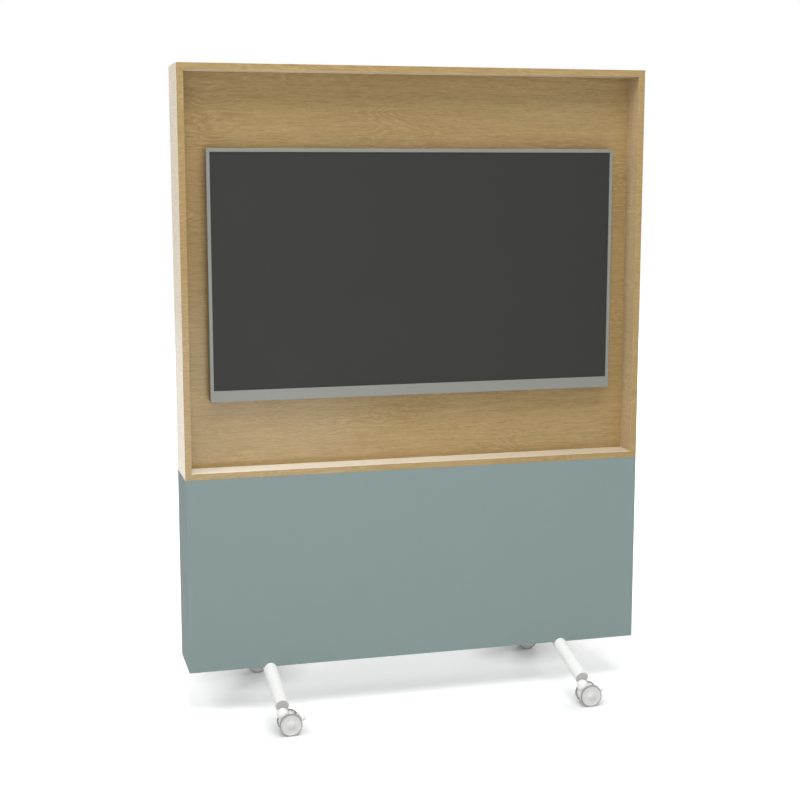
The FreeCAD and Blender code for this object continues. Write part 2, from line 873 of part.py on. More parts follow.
# Brake pedal: a rocker with a release hump above, a locking tip below and trunnions in its hub
def brake_pedal():
    corners = []
    for share_x, share_z, share_round in pedal_profile_shares:
        corners.append((
            pivot_x + share_x * pedal_reach, pivot_z + share_z * pedal_reach, share_round * pedal_reach
        ))
    lever_half = pedal_slot_half - side_gap
    lever = prism(corners, in_plane_y(-lever_half), point(0, 2 * lever_half, 0))
    hub = rod(point(pivot_x, -lever_half, pivot_z), point(pivot_x, lever_half, pivot_z), pedal_hub_radius)
    pins = rod(
        point(pivot_x, -trunnion_half, pivot_z), point(pivot_x, trunnion_half, pivot_z), trunnion_radius
    )
    return fused([hub, pins, lever])


# Caster wheels: a dished disc with a domed hub outside and a bearing boss inside, and a tyre
axle_half = wheel_gap_half + axle_reach
axle = rod(
    point(wheel_trail, -axle_half, wheel_radius), point(wheel_trail, axle_half, wheel_radius), axle_radius
)


def wheel_place(side):
    return lambda radius, out: point(wheel_trail + radius, side * out, wheel_radius)


def turned(wire):
    return Part.Face(wire).revolve(point(wheel_trail, 0, wheel_radius), point(0, 1, 0), 360)


def wheel_disc(side):
    place = wheel_place(side)
    bore = axle_radius + running_gap
    bore_end = axle_half + side_gap
    boss_end = axle_boss_half + side_gap
    rim_inside = rim_radius - rim_flange
    web_in = wheel_gap_half + web_inset
    web_out = disc_out - face_dish
    dome_top = disc_out + hub_dome_rise
    dome_height = dome_top - web_out
    dome_sphere = (hub_dome_radius ** 2 + dome_height ** 2) / (2 * dome_height)
    dome_side = dome_top - dome_sphere + math.sqrt(dome_sphere ** 2 - (hub_dome_radius / 2) ** 2)
    points = [
        (0, bore_end), (bore, bore_end), (bore, boss_end), (hub_radius, boss_end), (hub_radius, web_in),
        (rim_inside, web_in), (rim_inside, wheel_gap_half), (rim_radius, wheel_gap_half),
        (rim_radius, disc_out), (rim_inside + face_dish, disc_out), (rim_inside, web_out),
        (hub_dome_radius, web_out),
    ]
    edges = []
    for first, last in zip(points, points[1:]):
        edges.append(Part.makeLine(place(*first), place(*last)))
    dome = Part.Arc(place(*points[-1]), place(hub_dome_radius / 2, dome_side), place(0, dome_top))
    edges.append(dome.toShape())
    edges.append(Part.makeLine(place(0, dome_top), place(*points[0])))
    return turned(Part.Wire(edges))


def wheel_tyre(side):
    corners = [
        (rim_radius, wheel_gap_half, 0),
        (wheel_radius, wheel_gap_half, tyre_round),
        (wheel_radius, disc_out, tyre_round),
        (rim_radius, disc_out, 0),
    ]
    return turned(outline(corners, wheel_place(side)))


# Write one file per node
save(oak_side_left, "oak_side_left")
save(oak_side_right, "oak_side_right")
save(oak_top, "oak_top")
save(oak_shelf, "oak_shelf")
save(carrier_panel, "carrier_panel")
save(upper_rear_panel, "upper_rear_panel")
save(sage_front_panel, "sage_front_panel")
save(sage_rear_panel, "sage_rear_panel")
save(sage_side_left, "sage_side_left")
save(sage_side_right, "sage_side_right")
save(base_board, "base_board")
save(foot_left, "foot_left")
save(foot_right, "foot_right")
save(upright_left, "upright_left")
save(upright_right, "upright_right")
save(frame_bolts, "frame_bolts")
save(cable_grommet, "cable_grommet")
save(monitor_bezel, "monitor_bezel")
save(monitor_screen, "monitor_screen")
save(monitor_rear_cover, "monitor_rear_cover")
save(wall_rail, "wall_rail")
save(hook_arm_left, "hook_arm_left")
save(hook_arm_right, "hook_arm_right")
save(bracket_screws, "bracket_screws")

front_knuckle = knuckle(-1)
rear_knuckle = mirrored_y(front_knuckle)
front_plug = tube_plug(-1)
rear_plug = mirrored_y(front_plug)
body = caster_body()
pedal = brake_pedal()
front_disc = wheel_disc(-1)
rear_disc = wheel_disc(1)
front_tyre = wheel_tyre(-1)
rear_tyre = wheel_tyre(1)
plugs = []
stems = []
for name, (side_x, side_y) in corner_names.items():
    x = side_x * caster_spread_x
    y = side_y * caster_spread_y
    prefix = "caster_" + name + "_"
    save(moved(front_knuckle if side_y < 0 else rear_knuckle, x, 0), prefix + "knuckle")
    save(moved(body, x, y), prefix + "body")
    save(moved(axle, x, y), prefix + "axle")
    save(moved(pedal, x, y), prefix + "brake_pedal")
    save(moved(front_disc, x, y), prefix + "wheel_front")
    save(moved(rear_disc, x, y), prefix + "wheel_rear")
    save(moved(front_tyre, x, y), prefix + "tyre_front")
    save(moved(rear_tyre, x, y), prefix + "tyre_rear")
    plugs.append(moved(front_plug if side_y < 0 else rear_plug, x, 0))
    stems.append(moved(stem, x, y))
save(Part.makeCompound(plugs), "tube_plugs")
save(Part.makeCompound(stems), "caster_stems")
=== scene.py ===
import json
import math

import bmesh
import bpy
from mathutils import Matrix, Vector


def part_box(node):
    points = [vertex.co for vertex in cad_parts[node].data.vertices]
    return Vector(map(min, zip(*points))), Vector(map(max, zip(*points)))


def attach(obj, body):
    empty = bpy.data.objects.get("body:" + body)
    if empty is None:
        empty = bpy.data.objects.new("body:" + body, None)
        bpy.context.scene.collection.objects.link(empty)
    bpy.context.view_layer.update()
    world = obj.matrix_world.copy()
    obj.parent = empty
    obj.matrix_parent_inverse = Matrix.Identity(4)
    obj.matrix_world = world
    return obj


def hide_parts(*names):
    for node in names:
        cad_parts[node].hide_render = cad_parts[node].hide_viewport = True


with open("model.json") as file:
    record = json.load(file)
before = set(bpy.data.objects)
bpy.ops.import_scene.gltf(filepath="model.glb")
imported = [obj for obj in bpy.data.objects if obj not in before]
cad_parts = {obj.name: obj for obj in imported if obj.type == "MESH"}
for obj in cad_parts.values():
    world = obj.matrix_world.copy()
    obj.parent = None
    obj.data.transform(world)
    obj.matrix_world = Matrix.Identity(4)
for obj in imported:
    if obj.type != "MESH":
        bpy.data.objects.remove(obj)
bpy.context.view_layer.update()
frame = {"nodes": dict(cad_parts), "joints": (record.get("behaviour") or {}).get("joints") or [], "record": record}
nodes = frame["nodes"]
joint_places = {joint["name"]: Vector(joint["pos_m"]) for joint in frame["joints"]}
scene = bpy.context.scene
scene.view_settings.view_transform = "Standard"

# Camera of the picture: 30 degrees wide, turned 15 degrees and looking down on the wall
camera_place = (-1.1924, -4.3164, 1.6122)
camera_tilt_deg = 81.0855
camera_turn_deg = -15.0
camera_view_deg = 30.0
camera_sensor_mm = 36.0

# Soft square lights of the white studio: place, target, size and power
studio_lights = {
    "key_light": ((-2.6, -9.2, 3.8), (0.0, 0.0, 1.0), 4.6, 152.0),
    "top_light": ((0.0, -1.9, 5.0), (0.0, -0.5, 0.0), 3.0, 152.0),
    "low_light": ((0.0, -3.4, 0.3), (-0.2, 0.0, 1.7), 1.2, 20.0),
    "left_light": ((-3.4, -1.4, 4.4), (-0.4, 0.0, 2.0), 2.0, 80.0),
    "rear_light": ((3.2, 9.0, 4.4), (0.0, 0.0, 1.0), 4.6, 400.0),
    "right_light": ((5.4, 0.6, 3.4), (0.0, 0.0, 1.3), 2.4, 60.0),
}
studio_fill = 0.26

# Floor: its grey, and its glow at the start and the end of a reach from the middle and from each wheel
floor_half = 40.0
floor_tone = (0.86, 0.86, 0.86, 1.0)
floor_lift = (0.36, 0.85)
floor_reach = (0.6, 3.2)
wheel_lift = (0.02, 0.36)
wheel_reach = (0.03, 0.2)


def tone(red, green, blue):
    """A display colour (0-255) as the linear colour that a shader takes."""
    linear = []
    for value in (red, green, blue):
        share = value / 255
        linear.append(share / 12.92 if share <= 0.04045 else ((share + 0.055) / 1.055) ** 2.4)
    return (*linear, 1.0)


# Node building: a value that goes into a node is a socket to link or a plain number, vector or colour
def add(tree, kind, **settings):
    node = tree.nodes.new(kind)
    for key, value in settings.items():
        setattr(node, key, value)
    return node


def put(tree, socket, value):
    if isinstance(value, bpy.types.NodeSocket):
        tree.links.new(value, socket)
    else:
        socket.default_value = value


def feed(tree, node, **values):
    """Fills inputs by name, with an underscore for each blank in the name."""
    for key, value in values.items():
        put(tree, node.inputs[key.replace("_", " ")], value)
    return node


def maths(tree, operation, first, second=0.0):
    node = add(tree, "ShaderNodeMath", operation=operation)
    put(tree, node.inputs[0], first)
    put(tree, node.inputs[1], second)
    return node.outputs[0]


def vector_maths(tree, operation, first, second=(0.0, 0.0, 0.0)):
    node = add(tree, "ShaderNodeVectorMath", operation=operation)
    put(tree, node.inputs[0], first)
    put(tree, node.inputs[1], second)
    return node.outputs["Value" if operation == "LENGTH" else "Vector"]


def axes_of(tree, vector):
    node = add(tree, "ShaderNodeSeparateXYZ")
    tree.links.new(vector, node.inputs[0])
    return node.outputs


def turned_vector(tree, vector, order):
    """The vector with its axes taken in another order."""
    axes = axes_of(tree, vector)
    joined = add(tree, "ShaderNodeCombineXYZ")
    for index, axis in enumerate(order):
        tree.links.new(axes[axis], joined.inputs[index])
    return joined.outputs[0]


def noise(tree, vector, scale, detail=2.0, rough=0.5, bend=0.0):
    node = add(tree, "ShaderNodeTexNoise")
    feed(tree, node, Vector=vector, Scale=scale, Detail=detail, Roughness=rough, Distortion=bend)
    return node.outputs["Fac"]


def lengthwise_noise(tree, vector, along, across, detail, rough, bend=0.0):
    """Noise drawn out along X: the cells per metre along the grain and across it."""
    drawn = vector_maths(tree, "MULTIPLY", vector, (along, across, across))
    return noise(tree, drawn, 1.0, detail, rough, bend)


def between(tree, value, low, high, out_low=0.0, out_high=1.0):
    node = add(tree, "ShaderNodeMapRange")
    feed(tree, node, Value=value, From_Min=low, From_Max=high, To_Min=out_low, To_Max=out_high)
    return node.outputs["Result"]


# First input, second input and output of a Mix node for each kind of data
mix_sockets = {"RGBA": (6, 7, 2), "VECTOR": (4, 5, 1)}


def mixed(tree, kind, share, first, second, mode="MIX"):
    node = add(tree, "ShaderNodeMix", data_type=kind, blend_type=mode)
    first_at, second_at, out_at = mix_sockets[kind]
    put(tree, node.inputs[0], share)
    put(tree, node.inputs[first_at], first)
    put(tree, node.inputs[second_at], second)
    return node.outputs[out_at]


def blended(tree, share, first, second, mode="MIX"):
    return mixed(tree, "RGBA", share, first, second, mode)


def picked(tree, share, first, second):
    return mixed(tree, "VECTOR", share, first, second)


def new_group(name, inputs, outputs):
    tree = bpy.data.node_groups.new(name, "ShaderNodeTree")
    kinds = {"color": "NodeSocketColor", "float": "NodeSocketFloat", "vector": "NodeSocketVector"}
    for socket, kind in inputs:
        tree.interface.new_socket(socket, in_out="INPUT", socket_type=kinds[kind])
    for socket, kind in outputs:
        tree.interface.new_socket(socket, in_out="OUTPUT", socket_type=kinds[kind])
    source = tree.nodes.new("NodeGroupInput").outputs
    sink = tree.nodes.new("NodeGroupOutput").inputs
    return tree, source, sink


surface_outputs = [("Color", "color"), ("Roughness", "float"), ("Height", "float")]

# Noises of the oak decor: cells per metre along the grain and across it, detail, roughness and bend
oak_noises = {
    "drift": (1.3, 5.0, 3.0, 0.6),
    "broad": (2.6, 34.0, 3.0, 0.6),
    "streak": (9.0, 190.0, 4.0, 0.65),
    "fleck": (42.0, 460.0, 3.0, 0.7),
    "pore": (26.0, 560.0, 2.0, 0.5),
    "glint": (62.4, 676.0, 2.0, 0.5),
    "figure": (2.6, 11.0, 2.0, 0.5, 0.2),
    "patch": (2.8, 7.0, 1.0, 0.5),
    "warmth": (1.43, 3.9, 1.0, 0.5),
}
oak_body_weights = {"fleck": 0.42, "streak": 0.32, "broad": 0.13, "drift": 0.13}
figure_turns = 135.0
cathedral_share = 0.28
pore_share = 0.3
sheen_share = 0.2
glint_share = 0.18
warmth_share = 0.18
oak_highlight = tone(214, 190, 146)
oak_warmth = tone(255, 243, 234)
oak_gloss = (0.15, 0.28)


# Oak decor: streaks, pores and cathedral figure; X of the vector runs along the grain
def oak_grain_group():
    tree, source, sink = new_group(
        "oak_grain",
        [("Vector", "vector"), ("Pale", "color"), ("Mid", "color"), ("Dark", "color")],
        surface_outputs,
    )
    noises = {name: lengthwise_noise(tree, source["Vector"], *facts) for name, facts in oak_noises.items()}
    pore = between(tree, noises["pore"], 0.58, 0.67)
    glint = between(tree, noises["glint"], 0.6, 0.72)
    contour = maths(tree, "SINE", maths(tree, "MULTIPLY", noises["figure"], figure_turns))
    patch = between(tree, noises["patch"], 0.5, 0.62)
    fibre = maths(tree, "MULTIPLY", patch, between(tree, noises["fleck"], 0.36, 0.6))
    cathedral = maths(tree, "MULTIPLY", between(tree, contour, 0.45, 1.0), fibre)
    sheen = maths(tree, "MULTIPLY", between(tree, contour, -0.55, -1.0), fibre)
    body = 0.0
    for name, weight in oak_body_weights.items():
        part = maths(tree, "MULTIPLY", between(tree, noises[name], 0.3, 0.7), weight)
        body = maths(tree, "ADD", body, part)
    colour = blended(tree, between(tree, body, 0.22, 0.78), source["Mid"], source["Pale"])
    dark = maths(tree, "MULTIPLY", cathedral, cathedral_share)
    dark = maths(tree, "ADD", dark, maths(tree, "MULTIPLY", pore, pore_share))
    colour = blended(tree, dark, colour, source["Dark"])
    light = maths(tree, "MULTIPLY", sheen, sheen_share)
    light = maths(tree, "ADD", light, maths(tree, "MULTIPLY", glint, glint_share))
    colour = blended(tree, light, colour, oak_highlight)
    warm = between(tree, noises["warmth"], 0.42, 0.62, 0.0, warmth_share)
    colour = blended(tree, warm, colour, oak_warmth, "MULTIPLY")
    rough = between(tree, maths(tree, "ADD", noises["streak"], pore), 0.3, 1.3, *oak_gloss)
    height = maths(tree, "SUBTRACT", maths(tree, "MULTIPLY", noises["streak"], 0.4), pore)
    tree.links.new(colour, sink["Color"])
    tree.links.new(rough, sink["Roughness"])
    tree.links.new(height, sink["Height"])
    return tree


# Moulded, coated and foiled surfaces: a soft mottle of tone, gloss and relief
def mottle_group():
    tree, source, sink = new_group(
        "surface_mottle",
        [
            ("Vector", "vector"), ("Tone", "color"), ("Spread", "float"), ("Grain", "float"),
            ("Gloss Low", "float"), ("Gloss High", "float"),
        ],
        surface_outputs,
    )
    cloud = noise(tree, source["Vector"], 6.0, 3.0, 0.55)
    fine = noise(tree, source["Vector"], source["Grain"])
    swing = maths(tree, "ADD", maths(tree, "MULTIPLY", cloud, 0.6), maths(tree, "MULTIPLY", fine, 0.4))
    swing = maths(tree, "MULTIPLY", between(tree, swing, 0.3, 0.7, -1.0, 1.0), source["Spread"])
    lit = add(tree, "ShaderNodeVectorMath", operation="SCALE")
    put(tree, lit.inputs[0], source["Tone"])
    put(tree, lit.inputs["Scale"], maths(tree, "ADD", swing, 1.0))
    rough = between(tree, cloud, 0.3, 0.7, source["Gloss Low"], source["Gloss High"])
    tree.links.new(lit.outputs[0], sink["Color"])
    tree.links.new(rough, sink["Roughness"])
    tree.links.new(fine, sink["Height"])
    return tree


# Light wear: dust and rubbing that gathers low on the pieces near the floor
def floor_dust_group():
    tree, source, sink = new_group(
        "floor_dust",
        [
            ("Vector", "vector"), ("Color", "color"), ("Dust", "color"), ("Reach", "float"),
            ("Share", "float"),
        ],
        [("Color", "color")],
    )
    low = between(tree, axes_of(tree, source["Vector"])["Z"], 0.0, source["Reach"], 1.0, 0.0)
    patch = between(tree, noise(tree, source["Vector"], 60.0, 3.0, 0.6), 0.4, 0.7)
    share = maths(tree, "MULTIPLY", maths(tree, "MULTIPLY", low, patch), source["Share"])
    tree.links.new(blended(tree, share, source["Color"], source["Dust"]), sink["Color"])
    return tree


floor_grey = tone(176, 172, 166)
oak_grain = oak_grain_group()
surface_mottle = mottle_group()
floor_dust = floor_dust_group()


def new_material(name):
    material = bpy.data.materials.new(name)
    material.use_nodes = True
    tree = material.node_tree
    place = add(tree, "ShaderNodeTexCoord").outputs["Object"]
    return material, tree, tree.nodes["Principled BSDF"], place


def use(tree, group, **values):
    node = add(tree, "ShaderNodeGroup", node_tree=group)
    return feed(tree, node, **values).outputs


def relief(tree, shader, height, strength, distance):
    bump = add(tree, "ShaderNodeBump")
    feed(tree, bump, Strength=strength, Distance=distance, Height=height)
    tree.links.new(bump.outputs[0], shader.inputs["Normal"])


# Oak foil of the upper case: a painted reflection makes it paler on the shelf and under the top board, most of all
# at their left ends, and painted light makes the side faces within the case lighter
oak_pale = tone(174, 150, 104)
oak_mid = tone(150, 125, 81)
oak_dark = tone(108, 84, 49)
painted_reflection_cream = tone(255, 251, 240)
painted_light_sand = tone(236, 212, 178)
oak_sheen_tint = tone(255, 238, 212)
level_painted_reflection = (0.95, 0.4)
inner_painted_light = 0.15
face_skin = 0.005
face_limit = 0.7
case_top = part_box("oak_top")[1]
outer_from = case_top.x - face_skin
top_from = case_top.z - face_skin


def oak_material(name, shift):
    """Oak foil whose grain lies level on every face: along X, or along Y on the sides."""
    material, tree, shader, place = new_material(name)
    moved = vector_maths(tree, "ADD", place, shift)
    normal = add(tree, "ShaderNodeNewGeometry").outputs["True Normal"]
    facing = axes_of(tree, vector_maths(tree, "ABSOLUTE", normal))
    sideways = maths(tree, "GREATER_THAN", facing["X"], face_limit)
    level = maths(tree, "GREATER_THAN", facing["Z"], face_limit)
    front = turned_vector(tree, moved, "XZY")
    side = turned_vector(tree, moved, "YZX")
    vector = picked(tree, sideways, picked(tree, level, front, moved), side)
    grain = use(tree, oak_grain, Vector=vector, Pale=oak_pale, Mid=oak_mid, Dark=oak_dark)
    spot = axes_of(tree, place)
    # Painted light: side faces within the outer sides are mixed a little towards a pale sand tone
    inside = maths(tree, "LESS_THAN", maths(tree, "ABSOLUTE", spot["X"]), outer_from)
    inner = maths(tree, "MULTIPLY", maths(tree, "MULTIPLY", sideways, inside), inner_painted_light)
    colour = blended(tree, inner, grain["Color"], painted_light_sand)
    # Painted reflection: level faces below the top face are mixed towards cream, most of all at the left end
    below = maths(tree, "LESS_THAN", spot["Z"], top_from)
    painted_reflection_share = between(tree, spot["X"], -outer_from, outer_from, *level_painted_reflection)
    painted_reflection_share = maths(tree, "MULTIPLY", maths(tree, "MULTIPLY", level, painted_reflection_share), below)
    colour = blended(tree, painted_reflection_share, colour, painted_reflection_cream)
    feed(tree, shader, Base_Color=colour, Roughness=grain["Roughness"], Specular_IOR_Level=0.2)
    feed(tree, shader, Sheen_Weight=0.52, Sheen_Roughness=0.38, Sheen_Tint=oak_sheen_tint)
    relief(tree, shader, grain["Height"], 0.06, 0.0003)
    return material


def mottled_material(
    name, colour, spread, grain, gloss, bump=(0.1, 0.0002), metal=0.0, dust=None, specular=0.5
):
    """A plain finish: grain is in cells per metre, dust is (height it reaches, share)."""
    material, tree, shader, place = new_material(name)
    look = use(
        tree, surface_mottle, Vector=place, Tone=colour, Spread=spread, Grain=grain,
        Gloss_Low=gloss[0], Gloss_High=gloss[1],
    )
    shown = look["Color"]
    if dust:
        reach, share = dust
        worn = use(tree, floor_dust, Vector=place, Color=shown, Dust=floor_grey, Reach=reach, Share=share)
        shown = worn["Color"]
    feed(tree, shader, Base_Color=shown, Roughness=look["Roughness"], Metallic=metal)
    feed(tree, shader, Specular_IOR_Level=specular)
    relief(tree, shader, look["Height"], *bump)
    return material


oak_case = oak_material("oak_case_foil", (0.0, 0.0, 0.0))
oak_carrier = oak_material("oak_carrier_foil", (3.7, 0.31, 1.9))
oak_rear = oak_material("oak_rear_foil", (-5.1, 1.3, 4.4))
sage_foil = mottled_material(
    "sage_foil", tone(127, 143, 142), 0.018, 900.0, (0.6, 0.7), (0.05, 0.0001), specular=0.2
)
white_coat = mottled_material(
    "white_coat", tone(232, 232, 230), 0.012, 700.0, (0.3, 0.4), (0.08, 0.0001), dust=(0.16, 0.12),
    specular=0.2,
)
dark_steel = mottled_material("dark_steel_coat", tone(58, 58, 60), 0.05, 800.0, (0.42, 0.55))
zinc_steel = mottled_material("zinc_steel", tone(178, 178, 174), 0.05, 420.0, (0.26, 0.42), metal=1.0)
grommet_plastic = mottled_material("grommet_plastic", tone(128, 132, 131), 0.03, 1300.0, (0.42, 0.55))
monitor_silver = mottled_material(
    "monitor_silver", tone(125, 126, 120), 0.02, 1500.0, (0.36, 0.44), (0.05, 0.0001)
)
screen_film = mottled_material(
    "screen_film", tone(38, 38, 36), 0.012, 2200.0, (0.5, 0.56), (0.04, 0.00005), specular=0.25
)
cover_plastic = mottled_material(
    "cover_plastic", tone(34, 34, 36), 0.05, 1400.0, (0.5, 0.62), (0.16, 0.0002)
)
plug_plastic = mottled_material("plug_plastic", tone(182, 182, 182), 0.03, 900.0, (0.45, 0.6))
caster_nylon = mottled_material(
    "caster_nylon", tone(210, 210, 208), 0.02, 1100.0, (0.36, 0.48), dust=(0.06, 0.3), specular=0.3
)
pedal_nylon = mottled_material(
    "pedal_nylon", tone(212, 212, 210), 0.03, 1100.0, (0.4, 0.52), dust=(0.06, 0.2)
)
tread_rubber = mottled_material(
    "tread_rubber", tone(150, 150, 150), 0.06, 1600.0, (0.6, 0.75), (0.2, 0.0002), dust=(0.07, 0.4)
)

slot_materials = {
    "oak_decor": oak_case,
    "sage_decor": sage_foil,
    "white_coat": white_coat,
    "steel_coat": dark_steel,
    "zinc_steel": zinc_steel,
    "grey_plastic": grommet_plastic,
    "monitor_silver": monitor_silver,
    "screen_dark": screen_film,
    "cover_dark": cover_plastic,
    "plug_grey": plug_plastic,
    "caster_light": caster_nylon,
    "caster_grey": pedal_nylon,
    "tread_grey": tread_rubber,
}
node_slots = {part["node"]: part["material_slot"] for part in frame["record"]["subparts"]}
own_materials = {"carrier_panel": oak_carrier, "upper_rear_panel": oak_rear}


def dress(piece, material):
    piece.data.materials.clear()
    piece.data.materials.append(material)


for name, piece in nodes.items():
    dress(piece, own_materials.get(name, slot_materials[node_slots[name]]))


# Sizes of the pieces made here, in metres; their places come from the joints and boxes of the frame
weld_gap = 0.000005
caster_corners = ("front_left", "front_right", "rear_left", "rear_right")
disc_sides = {"front": -1, "rear": 1}
ball_rim = 0.0005
tube_radius = 0.02
tube_wall = 0.0015
tube_rim = 0.0003
tube_slope = math.radians(14.5)
tube_bend = 0.11
plate_depth = 0.104
plate_thick = 0.005
plate_corner = 0.01
plate_edge = 0.0004
saddle_size = Vector((0.03, 0.09, 0.026))
saddle_edge = 0.0005
rib_radius = 0.0006
rib_length = 0.0072
rib_count = 4
first_rib = Vector((0.0246, 0.0, -0.0026))
last_rib = Vector((0.03, 0.0, 0.0013))
screw_radius = 0.0038
screw_rise = 0.0009
screw_inset = 0.022
screw_columns = 6
screw_rows = 5

# Screw head, as shares of its radius and rise: crown, border of the recess, notches of the star and depth
crown_share = 0.8
border_share = 0.36
notch_share = 0.76
depth_share = 0.7

# Hub crown of a wheel disc
hub_crown_radius = 0.013
hub_crown_foot = 0.0056
hub_crown_rise = 0.0054

# Disc of a caster wheel as (radius, way out from its inner face, rounding): boss, web, rim and ring
disc_profile = (
    (0.0, 0.0053, 0.0), (0.00405, 0.0053, 0.0), (0.00405, -0.007, 0.0), (0.008, -0.007, 0.0005),
    (0.008, 0.002, 0.0), (0.0265, 0.002, 0.0), (0.0265, 0.0, 0.0003), (0.0295, 0.0, 0.0),
    (0.0295, 0.007, 0.0), (0.0279, 0.007, 0.0004), (0.0265, 0.0056, 0.0004), (0.0245, 0.0056, 0.0002),
    (0.0241, 0.0052, 0.0002), (0.0236, 0.0052, 0.0002), (0.0232, 0.0056, 0.0002), (0.013, 0.0056, 0.0),
)
# Tyre in the same terms: a rounded band with two shallow grooves
tyre_profile = (
    (0.0295, 0.0, 0.0), (0.033, 0.0, 0.0012), (0.033, 0.0024, 0.0), (0.0327, 0.0026, 0.0),
    (0.0327, 0.0029, 0.0), (0.033, 0.0031, 0.0), (0.033, 0.0039, 0.0), (0.0327, 0.0041, 0.0),
    (0.0327, 0.0044, 0.0), (0.033, 0.0046, 0.0), (0.033, 0.007, 0.0012), (0.0295, 0.007, 0.0),
)


def rounded_profile(corners, steps=4):
    """The points of a profile whose corners are rounded by arcs."""
    points = []
    for index, (across, out, size) in enumerate(corners):
        here = Vector((across, out))
        if not size:
            points.append(here)
            continue
        back = (Vector(corners[index - 1][:2]) - here).normalized()
        ahead = (Vector(corners[index + 1][:2]) - here).normalized()
        half = back.angle(ahead) / 2
        middle = here + (back + ahead).normalized() * (size / math.sin(half))
        first = here + back * (size / math.tan(half)) - middle
        last = here + ahead * (size / math.tan(half)) - middle
        sweep = first.angle(last)
        for step in range(steps + 1):
            share = step / steps
            way = first * math.sin((1 - share) * sweep) + last * math.sin(share * sweep)
            points.append(middle + way / math.sin(sweep))
    return points


def crown_profile(radius, foot, rise, steps=8):
    """The points of a shallow dome from its foot to the axle."""
    ball = (radius ** 2 + rise ** 2) / (2 * rise)
    points = []
    for step in range(1, steps + 1):
        across = radius * (1 - step / steps)
        points.append(Vector((across, foot + rise - ball + math.sqrt(ball ** 2 - across ** 2))))
    return points


def finished(name, shape, body, slot, stands_for=(), smooth_deg=32.0):
    """The object of a finished mesh, smooth where its faces meet at less than the given angle."""
    mesh = bpy.data.meshes.new(name)
    bmesh.ops.remove_doubles(shape, verts=shape.verts, dist=weld_gap)
    bmesh.ops.recalc_face_normals(shape, faces=shape.faces)
    shape.to_mesh(mesh)
    shape.free()
    mesh.shade_smooth()
    mesh.set_sharp_from_angle(angle=math.radians(smooth_deg))
    piece = bpy.data.objects.new(name, mesh)
    scene.collection.objects.link(piece)
    dress(piece, slot_materials[slot])
    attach(piece, body)
    if stands_for:
        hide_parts(*stands_for)
    return piece


def edges_in(items):
    return [item for item in items if isinstance(item, bmesh.types.BMEdge)]


def rounded_edges(shape, edges, offset, segments):
    bmesh.ops.bevel(
        shape, geom=edges, offset=offset, segments=segments, profile=0.5, affect="EDGES",
        material=-1, clamp_overlap=True,
    )


def sharp_edges(shape, least_deg):
    least = math.radians(least_deg)
    whole = [edge for edge in shape.edges if len(edge.link_faces) == 2]
    return [edge for edge in whole if edge.calc_face_angle() > least]


def upright_edges(shape):
    ways = [(edge, edge.verts[1].co - edge.verts[0].co) for edge in shape.edges]
    return [edge for edge, way in ways if abs(way.z) > way.length / 2]


# Wheels: the disc and the tyre are turned about the axle
def turned(profile, axle, side, closed, steps=72):
    shape = bmesh.new()
    ring = [shape.verts.new(axle + Vector((point.x, side * point.y, 0.0))) for point in profile]
    runs = list(zip(ring, ring[1:]))
    if closed:
        runs.append((ring[-1], ring[0]))
    for first, last in runs:
        shape.edges.new((first, last))
    bmesh.ops.spin(
        shape, geom=shape.verts[:] + shape.edges[:], cent=axle, axis=(0.0, 1.0, 0.0),
        angle=math.tau, steps=steps, use_merge=True,
    )
    bmesh.ops.remove_doubles(shape, verts=shape.verts, dist=weld_gap)
    return shape


def caster_wheel(corner, which, side):
    prefix = f"caster_{corner}_"
    tyre_node = prefix + "tyre_" + which
    wheel_node = prefix + "wheel_" + which
    low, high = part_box(tyre_node)
    inner_y = high.y if side < 0 else low.y
    axle = Vector(((low.x + high.x) / 2, inner_y, (low.z + high.z) / 2))
    body = prefix + which + "_disc"
    crown = crown_profile(hub_crown_radius, hub_crown_foot, hub_crown_rise)
    disc = turned(rounded_profile(disc_profile) + crown, axle, side, False)
    finished(prefix + which + "_disc_face", disc, body, "caster_light", (wheel_node,), 24.0)
    tyre = turned(rounded_profile(tyre_profile), axle, side, True)
    finished(prefix + which + "_tread", tyre, body, "tread_grey", (tyre_node,), 40.0)


# Knuckle: a ball about the caster's swivel joint, with a turned flat over the swivel
def knuckle_ball(corner):
    node = f"caster_{corner}_knuckle"
    low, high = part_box(node)
    middle = joint_places[f"caster_{corner}_swivel_turn"]
    shape = bmesh.new()
    bmesh.ops.create_uvsphere(
        shape, u_segments=56, v_segments=32, radius=high.z - middle.z, matrix=Matrix.Translation(middle)
    )
    cut = bmesh.ops.bisect_plane(
        shape, geom=shape.verts[:] + shape.edges[:] + shape.faces[:], dist=weld_gap,
        plane_co=(middle.x, middle.y, low.z), plane_no=(0.0, 0.0, 1.0), clear_inner=True,
    )["geom_cut"]
    rim = edges_in(cut)
    bmesh.ops.edgeloop_fill(shape, edges=rim)
    rounded_edges(shape, rim, ball_rim, 3)
    finished(f"caster_{corner}_ball", shape, "wall", "white_coat", (node,))


# Grip ribs across the turned-up tip of each brake pedal
def pedal_ribs(corner):
    pivot = joint_places[f"caster_{corner}_pedal_press"]
    shape = bmesh.new()
    for index in range(rib_count):
        place = pivot + first_rib.lerp(last_rib, index / (rib_count - 1))
        bmesh.ops.create_cone(
            shape, cap_ends=True, segments=12, radius1=rib_radius, radius2=rib_radius, depth=rib_length,
            matrix=Matrix.Translation(place) @ Matrix.Rotation(math.pi / 2, 4, "X"),
        )
    finished(f"caster_{corner}_pedal_ribs", shape, f"caster_{corner}_pedal", "caster_grey")


# Feet: a tube bent over the middle of the case, and the plate that carries the case
def grown(shape, edges, way):
    made = bmesh.ops.extrude_edge_only(shape, edges=edges)["geom"]
    ring = [item for item in made if isinstance(item, bmesh.types.BMVert)]
    bmesh.ops.translate(shape, vec=way, verts=ring)
    return ring, edges_in(made)


